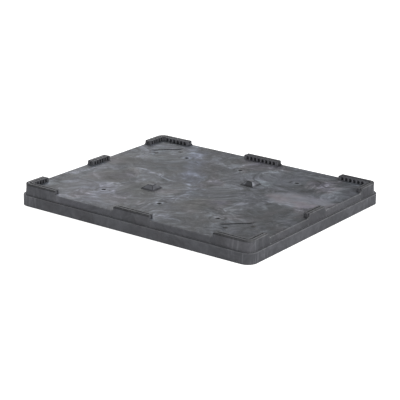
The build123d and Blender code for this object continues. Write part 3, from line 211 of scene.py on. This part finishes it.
        # flow fronts from the two rows of gates meet in a pale weld line
        wl = net.node("ShaderNodeSeparateXYZ", {"Vector": p3}).outputs
        line = net.m("ABSOLUTE", net.m("SUBTRACT", wl[1], -0.004))
        line = net.rng(line, 0.0, 0.016, 1.0, 0.0, smooth=True)
        along = net.m("MULTIPLY", net.rng(x, -0.56, -0.48, smooth=True), net.rng(x, 0.20, 0.02, smooth=True))
        patchy = net.rng(net.noise(pos_s, 14.0, 2.0, 0.5), 0.42, 0.60)
        tone_v = net.m("ADD", tone_v, net.m("MULTIPLY", net.m("MULTIPLY", line, along), net.m("MULTIPLY", patchy, 0.34)))
        for (cx, cy), (rx, ry), turn, soft, step, calm, col in PATCHES:
            q = net.v("SUBTRACT", warp(pos, 9.0, 0.09, 3.0), (cx, cy, 0.0))
            q = net.node("ShaderNodeVectorRotate", {"Vector": q, "Angle": math.radians(-turn)},
                         rotation_type="Z_AXIS").outputs[0]
            q = net.v("MULTIPLY", q, (1.0 / rx, 1.0 / ry, 0.0))
            mask = net.rng(net.v("LENGTH", q), 1.0 - soft, 1.0 + soft, 1.0, 0.0, smooth=True)
            if calm:
                tone_v = net.m("MULTIPLY", tone_v, net.m("SUBTRACT", 1.0, net.m("MULTIPLY", mask, calm)))
            tone_v = net.m("ADD", tone_v, net.m("MULTIPLY", mask, step))
            tint = net.mixc(mask, tint, net.mixc(1.0, tint, col, "MULTIPLY"))
        # rings where the melt spread from the gates; painted shade round each gate hole's mouth
        for gx, gy in GATES:
            r = net.v("LENGTH", net.v("MULTIPLY", net.v("SUBTRACT", warp(pos, 30.0, 0.02), (gx, gy, 0.0)), (1.0, 1.0, 0.0)))
            ring = net.m("ABSOLUTE", net.m("SUBTRACT", r, 0.033))
            ring = net.rng(ring, 0.0, 0.009, 1.0, 0.0, smooth=True)
            part_ring = net.rng(net.noise(pos_s, 24.0, 1.0, 0.5), 0.45, 0.60)
            tone_v = net.m("ADD", tone_v, net.m("MULTIPLY", net.m("MULTIPLY", ring, part_ring), -0.45))
            core = net.rng(r, 0.011, 0.026, 1.0, 0.0, smooth=True)
            tone_v = net.m("ADD", tone_v, net.m("MULTIPLY", core, 0.20))
            # painted shade: the deck round the mouth of each gate hole is darkened
            rr = net.v("LENGTH", net.v("MULTIPLY", net.v("SUBTRACT", pos, (gx, gy, 0.0)), (1.0, 1.0, 0.0)))
            tone_v = net.m("ADD", tone_v, net.m("MULTIPLY", net.rng(rr, 0.0085, 0.0120, 1.0, 0.0, smooth=True), -1.6))

    if pad:
        # each pad's own coordinates: t up the flank, su and sv reach 1 on the X and Y flanks
        u = net.m("SUBTRACT", x, net.m("MULTIPLY", net.m("SIGN", x), 0.151))
        v = net.m("SUBTRACT", y, net.m("MULTIPLY", net.m("SIGN", y), 0.155))
        t = net.m("DIVIDE", net.m("SUBTRACT", z, 0.0765), 0.0185, clamp=True)
        su = net.m("DIVIDE", net.m("ABSOLUTE", u), net.m("SUBTRACT", 0.035, net.m("MULTIPLY", t, 0.023)))
        sv = net.m("DIVIDE", net.m("ABSOLUTE", v), net.m("SUBTRACT", 0.035, net.m("MULTIPLY", t, 0.026)))
        yface = net.rng(net.m("SUBTRACT", sv, su), -0.01, 0.01)
        xface = net.m("SUBTRACT", 1.0, yface)
        flank = net.m("SUBTRACT", 1.0, net.rng(t, 0.93, 0.97))
        tone_v = net.m("MULTIPLY", tone_v, 0.55)
        # painted light: flanks facing +X are made paler than the Y flanks, flanks facing -X darker
        tone_v = net.m("ADD", tone_v, net.m("MULTIPLY", nsep.outputs[0], 0.62))
        # darker along the arrises and round the top, and painted shade along the foot
        arris = net.rng(net.m("ABSOLUTE", net.m("SUBTRACT", su, sv)), 0.04, 0.26, 1.0, 0.0, smooth=True)
        arris = net.m("MULTIPLY", arris, net.m("ADD", 0.35, net.m("MULTIPLY", yface, 0.65)))
        foot = net.rng(t, 0.10, 0.38, 1.0, 0.0, smooth=True)
        cap = net.m("MULTIPLY", net.rng(t, 0.80, 0.93, smooth=True), flank)
        darkening_and_shade = net.m("MAXIMUM", net.m("MULTIPLY", arris, flank), net.m("MAXIMUM", foot, net.m("MULTIPLY", cap, 0.85)))
        tone_v = net.m("ADD", tone_v, net.m("MULTIPLY", darkening_and_shade, -1.45))
        # painted light: the Y flanks are lifted paler
        tone_v = net.m("ADD", tone_v, net.m("MULTIPLY", net.m("MULTIPLY", yface, flank), 0.34))
        # painted shade and highlight on one pad: a dark wedge on its Y flank, a bright one beside it on its X flank
        rear = net.rng(x, -0.01, 0.01)
        dark_wedge_shade = net.m("MULTIPLY", net.rng(u, -0.014, -0.007), net.m("MULTIPLY", yface, flank))
        bright_wedge_highlight = net.m("MULTIPLY", net.rng(v, 0.002, -0.014), net.m("MULTIPLY", xface, flank))
        tone_v = net.m("ADD", tone_v, net.m("MULTIPLY", net.m("MULTIPLY", rear, dark_wedge_shade), -1.25))
        tone_v = net.m("ADD", tone_v, net.m("MULTIPLY", net.m("MULTIPLY", rear, bright_wedge_highlight), 1.10))

    if stop:
        # painted light: the pockets are lifted paler; painted shade: the grooves on top are darkened
        pocket_painted_light = net.m("MULTIPLY", net.rng(inset, 0.0085, 0.0100), net.rng(z, 0.0925, 0.0915))
        tone_v = net.m("ADD", tone_v, net.m("MULTIPLY", pocket_painted_light, 0.62))
        # painted highlight: the ribs' inner tops are made a little paler
        rib_top_highlight = net.m("MULTIPLY", net.rng(inset, 0.0290, 0.0302), net.rng(z, 0.0930, 0.0915))
        tone_v = net.m("ADD", tone_v, net.m("MULTIPLY", rib_top_highlight, 0.10))
        high = net.rng(z, 0.0885, 0.0895)
        shorts = net.rng(net.m("SUBTRACT", qx, qy), -0.012, 0.012)
        g1 = net.m("MULTIPLY", net.rng(inset, 0.0012, 0.0024), net.rng(inset, 0.0082, 0.0066))
        g2 = net.m("MULTIPLY", net.rng(inset, 0.0148, 0.0156), net.rng(inset, 0.0240, 0.0226))
        darkening_and_shade = net.m("MULTIPLY", high, net.m("ADD", net.m("MULTIPLY", g1, 1.35), net.m("MULTIPLY", g2, 0.85)))
        darkening_and_shade = net.m("MULTIPLY", darkening_and_shade, net.m("ADD", 1.0, net.m("MULTIPLY", shorts, 0.45)))
        tone_v = net.m("SUBTRACT", tone_v, darkening_and_shade)
        # painted shade: a dark band along the outer top arris, strongest on the long sides
        long_arris_shade = net.m("MULTIPLY", net.rng(inset, 0.0026, 0.0016), net.rng(z, 0.0880, 0.0896))
        longs = net.rng(net.m("SUBTRACT", qy, qx), -0.012, 0.012)
        bend = net.rng(net.m("SUBTRACT", qy, qx), -0.036, -0.016)
        long_arris_shade = net.m("MULTIPLY", long_arris_shade, net.m("ADD", 0.20, net.m("MULTIPLY", bend, 0.80)))
        tone_v = net.m("ADD", tone_v, net.m("MULTIPLY", long_arris_shade, -1.75))
        # painted shade: the stops' top faces are darkened, more on the long sides
        top_face_shade = net.m("MULTIPLY", up, net.rng(z, 0.0885, 0.0895))
        tone_v = net.m("SUBTRACT", tone_v, net.m("MULTIPLY", top_face_shade, net.m("ADD", 0.12, net.m("MULTIPLY", longs, 0.14))))
        # painted shade and light: the left side's inner walls are darkened and the rear side's lifted paler
        walls = net.m("MULTIPLY", net.m("SUBTRACT", 1.0, up), net.rng(inset, 0.0060, 0.0080))
        left_wall_shade = net.m("MULTIPLY", walls, net.rng(x, -0.535, -0.550))
        rear = net.m("MULTIPLY", walls, net.rng(y, 0.435, 0.450))
        tone_v = net.m("SUBTRACT", tone_v, net.m("MULTIPLY", left_wall_shade, 0.55))
        tone_v = net.m("ADD", tone_v, net.m("MULTIPLY", net.m("MULTIPLY", rear, net.m("SUBTRACT", 1.0, left_wall_shade)), 0.32))

    if deck:
        # painted shade along the foot of the two shallow recesses' long walls, and dark spots at both ends of each
        # recess: one round its weep hole, one where no hole is cut
        dx = net.m("SUBTRACT", x, net.m("MULTIPLY", net.m("SIGN", x), 0.423))
        dy = net.m("ADD", y, net.m("MULTIPLY", net.m("SIGN", x), 0.323))
        qa = net.m("MULTIPLY", net.m("ADD", dx, dy), 0.70711)
        qb = net.m("MULTIPLY", net.m("SUBTRACT", dy, dx), 0.70711)
        recess_foot_shade = net.m("ABSOLUTE", net.m("SUBTRACT", net.m("ABSOLUTE", qb), 0.0420))
        recess_foot_shade = net.m("MULTIPLY", net.rng(recess_foot_shade, 0.0052, 0.0018), net.rng(net.m("ABSOLUTE", qa), 0.075, 0.069))
        sunk = net.rng(z, 0.0763, 0.0758)
        tone_v = net.m("ADD", tone_v, net.m("MULTIPLY", net.m("MULTIPLY", recess_foot_shade, sunk), -1.25))
        hole_spot_shade = net.v("LENGTH", comb(net, net.m("SUBTRACT", net.m("ABSOLUTE", qa), 0.0566), qb, 0.0))
        tone_v = net.m("ADD", tone_v, net.m("MULTIPLY", net.rng(hole_spot_shade, 0.0130, 0.0060, smooth=True), -1.5))
        rim = net.m("MULTIPLY", net.rng(inset, 0.0030, 0.0045), net.rng(inset, 0.0120, 0.0085))
        rim = net.m("MULTIPLY", rim, net.rng(qx, -0.010, 0.020))
        tone_v = net.m("ADD", tone_v, net.m("MULTIPLY", rim, -0.12))

    if not deck and not pad:
        # silvery splay drawn down the walls where the melt turned a corner
        sp = net.noise(comb(net, net.m("MULTIPLY", x, 90.0), net.m("MULTIPLY", y, 90.0), net.m("MULTIPLY", z, 7.0)), 1.0, 3.0, 0.6)
        sp = net.rng(sp, 0.50, 0.64, smooth=True)
        near = net.m("MULTIPLY", net.rng(qx, -0.075, -0.030, smooth=True), net.rng(qy, -0.120, -0.040, smooth=True))
        sp = net.m("MULTIPLY", net.m("MULTIPLY", sp, near), net.m("SUBTRACT", 1.0, up))
        tone_v = net.m("ADD", tone_v, net.m("MULTIPLY", sp, 0.85))

    # gain: a power of two keeps the tone positive and treats light and dark alike
    gain = net.m("POWER", 2.0, net.m("MULTIPLY", tone_v, net.mixf(up, 0.8, contrast)))
    # painted light: with side above 1 (the deck), faces that do not point up come out brighter than the tops
    base = net.m("MULTIPLY", net.m("MULTIPLY", gain, BASE * tone), net.mixf(up, side, 1.0))
    col = net.mixc(1.0, net.node("ShaderNodeCombineColor", {0: base, 1: base, 2: base}).outputs[0], tint, "MULTIPLY")

    # scuffs and dust on upward faces
    scuff = net.noise(comb(net, net.m("MULTIPLY", x, 30.0), net.m("MULTIPLY", y, 240.0), z), 1.0, 4.0, 0.6)
    scuff2 = net.noise(comb(net, net.m("MULTIPLY", x, 260.0), net.m("MULTIPLY", y, 36.0), z), 1.0, 4.0, 0.6)
    scuff = net.m("ADD", net.rng(scuff, 0.56, 0.74), net.rng(scuff2, 0.58, 0.76))
    col = net.mixc(net.m("MULTIPLY", net.m("MULTIPLY", up, scuff), 0.10 * dust_and_edge_light), col, (0.42, 0.42, 0.44))

    bev = net.node("ShaderNodeBevel", {"Radius": 0.0018}, samples=4)
    # painted shade: darkened in narrow grooves and along the feet of stops and pads, where the surface is hemmed in
    crease_shade_ao = net.node("ShaderNodeAmbientOcclusion", {"Distance": 0.008}, samples=8, inside=False, only_local=False)
    crease_shade_ao = net.rng(crease_shade_ao.outputs["AO"], 0.88, 0.38)
    col = net.mixc(net.m("MULTIPLY", crease_shade_ao, crease_shade_amount), col, (0.012, 0.012, 0.013))

    # painted highlight: convex outer edges are lightened; rays inside the wall tell a convex edge from a hollow one
    convex_edge_ao = net.node("ShaderNodeAmbientOcclusion", {"Distance": 0.0046}, samples=8, inside=True, only_local=True)
    edge_highlight_mask = net.rng(convex_edge_ao.outputs["AO"], 0.93, 0.62)
    edge_n = net.rng(net.noise(pos_s, 34.0, 3.0, 0.6), 0.30, 0.60, 0.35, 1.0)
    edge_highlight_mask = net.m("MULTIPLY", edge_highlight_mask, edge_n)
    # the painted edge highlight is weaker on the long sides than on the short ones, and none down the seams of the
    # outside faces
    ax, ay = net.m("ABSOLUTE", x), net.m("ABSOLUTE", y)
    short = net.m("MULTIPLY", net.rng(ax, 0.560, 0.572), net.rng(ay, 0.487, 0.470, 0.0, 1.0))
    edge_highlight_mask = net.m("MULTIPLY", edge_highlight_mask, net.m("ADD", 0.20 if stop else 0.40, net.m("MULTIPLY", short, 0.80 if stop else 0.60)))
    outer = net.rng(inset, 0.0014, 0.0006)
    band = net.m("MAXIMUM", net.rng(net.m("ABSOLUTE", net.m("SUBTRACT", z, 0.0475)), 0.006, 0.004),
                 net.m("MAXIMUM", net.rng(z, 0.089, 0.091), net.rng(net.m("ABSOLUTE", net.m("SUBTRACT", z, 0.0765)), 0.006, 0.004)))
    edge_highlight_mask = net.m("MULTIPLY", edge_highlight_mask, net.m("MAXIMUM", band, net.m("SUBTRACT", 1.0, outer)))
    col = net.mixc(net.m("MULTIPLY", edge_highlight_mask, 0.80 * dust_and_edge_light), col, (0.30, 0.30, 0.31))

    rough = net.m("ADD", 0.56, part(swirl, 0.30))
    rough = net.m("ADD", rough, net.m("MULTIPLY", fine, 0.10), clamp=True)

    h = net.m("ADD", net.m("MULTIPLY", fine, 0.6), net.m("MULTIPLY", mott, 0.9))
    h = net.m("ADD", h, net.m("MULTIPLY", swirl, 2.0))
    bump = net.node("ShaderNodeBump", {"Strength": 0.30 * grain, "Distance": 0.0008, "Height": h,
                                       "Normal": bev.outputs["Normal"]})
    b = net.node("ShaderNodeBsdfPrincipled", {"Base Color": col, "Roughness": rough, "Normal": bump.outputs["Normal"]})
    b.inputs["IOR"].default_value = 1.49
    b.inputs["Specular IOR Level"].default_value = 0.12
    net.t.links.new(b.outputs[0], net.out.inputs["Surface"])
    return net.mat


def zinc(name):
    net = Net(name)
    pos = net.node("ShaderNodeTexCoord").outputs["Object"]
    n1 = net.noise(pos, 180.0, 3.0, 0.6)
    n2 = net.noise(pos, 900.0, 2.0, 0.5)
    col = net.ramp(n1, [(0.3, (0.42, 0.42, 0.40)), (0.6, (0.62, 0.62, 0.60)), (0.8, (0.52, 0.50, 0.44))])
    rough = net.m("ADD", 0.28, net.m("MULTIPLY", n1, 0.25))
    bump = net.node("ShaderNodeBump", {"Strength": 0.2, "Distance": 0.0002, "Height": n2})
    b = net.node("ShaderNodeBsdfPrincipled", {"Base Color": col, "Roughness": rough, "Normal": bump.outputs["Normal"]})
    b.inputs["Metallic"].default_value = 1.0
    net.t.links.new(b.outputs[0], net.out.inputs["Surface"])
    return net.mat


M_DECK = recycled("deck_marbled", tone=1.0, deck=True, contrast=3.2, side=1.22, crease_shade_amount=0.62)
M_SKIRT = recycled("skirt_marbled", tone=1.18, seed=4.0, contrast=1.2)
M_STOP = recycled("stop_marbled", tone=1.10, seed=0.0, contrast=1.2, dust_and_edge_light=0.45, crease_shade_amount=0.15, stop=True)
M_PAD = recycled("pad_marbled", tone=1.45, seed=2.0, contrast=1.6, pad=True, dust_and_edge_light=0.3, crease_shade_amount=0.3)
M_BAR = recycled("bar_plastic", tone=0.85, seed=9.0, contrast=1.2)
M_ZINC = zinc("zinc_plate")

for name, ob in nodes.items():
    if name.endswith("screws"):
        mat = M_ZINC
    elif name == "deck_panel":
        mat = M_DECK
    elif name == "skirt_frame":
        mat = M_SKIRT
    elif "bar" in name:
        mat = M_BAR
    elif "pad" in name:
        mat = M_PAD
    else:
        mat = M_STOP
    ob.data.materials.clear()
    ob.data.materials.append(mat)


# -------------------------------------------------------------------- camera
def look(az, el, roll, target, dist):
    a, e, r = (math.radians(v) for v in (az, el, roll))
    back = Vector((math.sin(a) * math.cos(e), -math.cos(a) * math.cos(e), math.sin(e)))
    right = Vector((math.cos(a), math.sin(a), 0.0))
    up = Vector((-math.sin(a) * math.sin(e), math.cos(a) * math.sin(e), math.cos(e)))
    r2 = right * math.cos(r) + up * math.sin(r)
    u2 = up * math.cos(r) - right * math.sin(r)
    m = Matrix((r2, u2, back)).transposed().to_4x4()
    m.translation = Vector(target) + back * dist
    return m


cam_data = bpy.data.cameras.new("camera")
cam = bpy.data.objects.new("camera", cam_data)
scene.collection.objects.link(cam)
scene.camera = cam
cam_data.sensor_width = 36.0
cam_data.lens = 135.067
cam_data.clip_start, cam_data.clip_end = 0.1, 200.0
cam.matrix_world = look(35.830, 18.535, 0.948, (-0.028885, 0.032412, 0.0), 6.531126)

# --------------------------------------------------------------------- stage
me = bpy.data.meshes.new("floor")
S = 60.0
me.from_pydata([(-S, -S, 0), (S, -S, 0), (S, S, 0), (-S, S, 0)], [], [(0, 1, 2, 3)])
floor = bpy.data.objects.new("floor", me)
scene.collection.objects.link(floor)
net = Net("floor_pale")
lp = net.node("ShaderNodeLightPath")
geo = net.node("ShaderNodeNewGeometry")
dif = net.node("ShaderNodeBsdfDiffuse", {"Color": (0.75, 0.75, 0.75, 1)})
emi = net.node("ShaderNodeEmission", {"Color": (1, 1, 1, 1), "Strength": net.mixf(lp.outputs["Is Camera Ray"], 0.15, 0.80)})
add = net.node("ShaderNodeAddShader")
net.t.links.new(dif.outputs[0], add.inputs[0])
net.t.links.new(emi.outputs[0], add.inputs[1])
clear = net.node("ShaderNodeBsdfTransparent")
mix = net.node("ShaderNodeMixShader")
net.t.links.new(geo.outputs["Backfacing"], mix.inputs[0])
net.t.links.new(add.outputs[0], mix.inputs[1])
net.t.links.new(clear.outputs[0], mix.inputs[2])
net.t.links.new(mix.outputs[0], net.out.inputs["Surface"])
me.materials.append(net.mat)

world = bpy.data.worlds.new("studio")
scene.world = world
world.use_nodes = True
wt = world.node_tree
wt.nodes.clear()
wo = wt.nodes.new("ShaderNodeOutputWorld")
bg = wt.nodes.new("ShaderNodeBackground")
bg.inputs["Color"].default_value = (1.0, 1.0, 1.0, 1)
bg.inputs["Strength"].default_value = 0.50
wt.links.new(bg.outputs[0], wo.inputs["Surface"])


def area(name, loc, size, power, target=(0, 0, 0.05), color=(1, 1, 1)):
    d = bpy.data.lights.new(name, "AREA")
    d.shape = "RECTANGLE"
    d.size, d.size_y = size
    d.energy = power
    d.color = color
    o = bpy.data.objects.new(name, d)
    scene.collection.objects.link(o)
    o.location = loc
    o.rotation_euler = (Vector(target) - Vector(loc)).to_track_quat("-Z", "Y").to_euler()
    return o


area("key", (-2.6, 2.4, 2.1), (1.6, 1.6), 78.0)
area("side", (3.6, 0.2, 1.5), (2.0, 2.0), 66.0)
area("front", (-0.6, -4.0, 1.2), (3.0, 1.6), 34.0)
area("fill", (2.6, -3.4, 1.7), (1.6, 1.6), 30.0)

scene.view_settings.view_transform = "Standard"
scene.view_settings.look = "None"
scene.view_settings.exposure = 0.0
scene.view_settings.gamma = 1.0
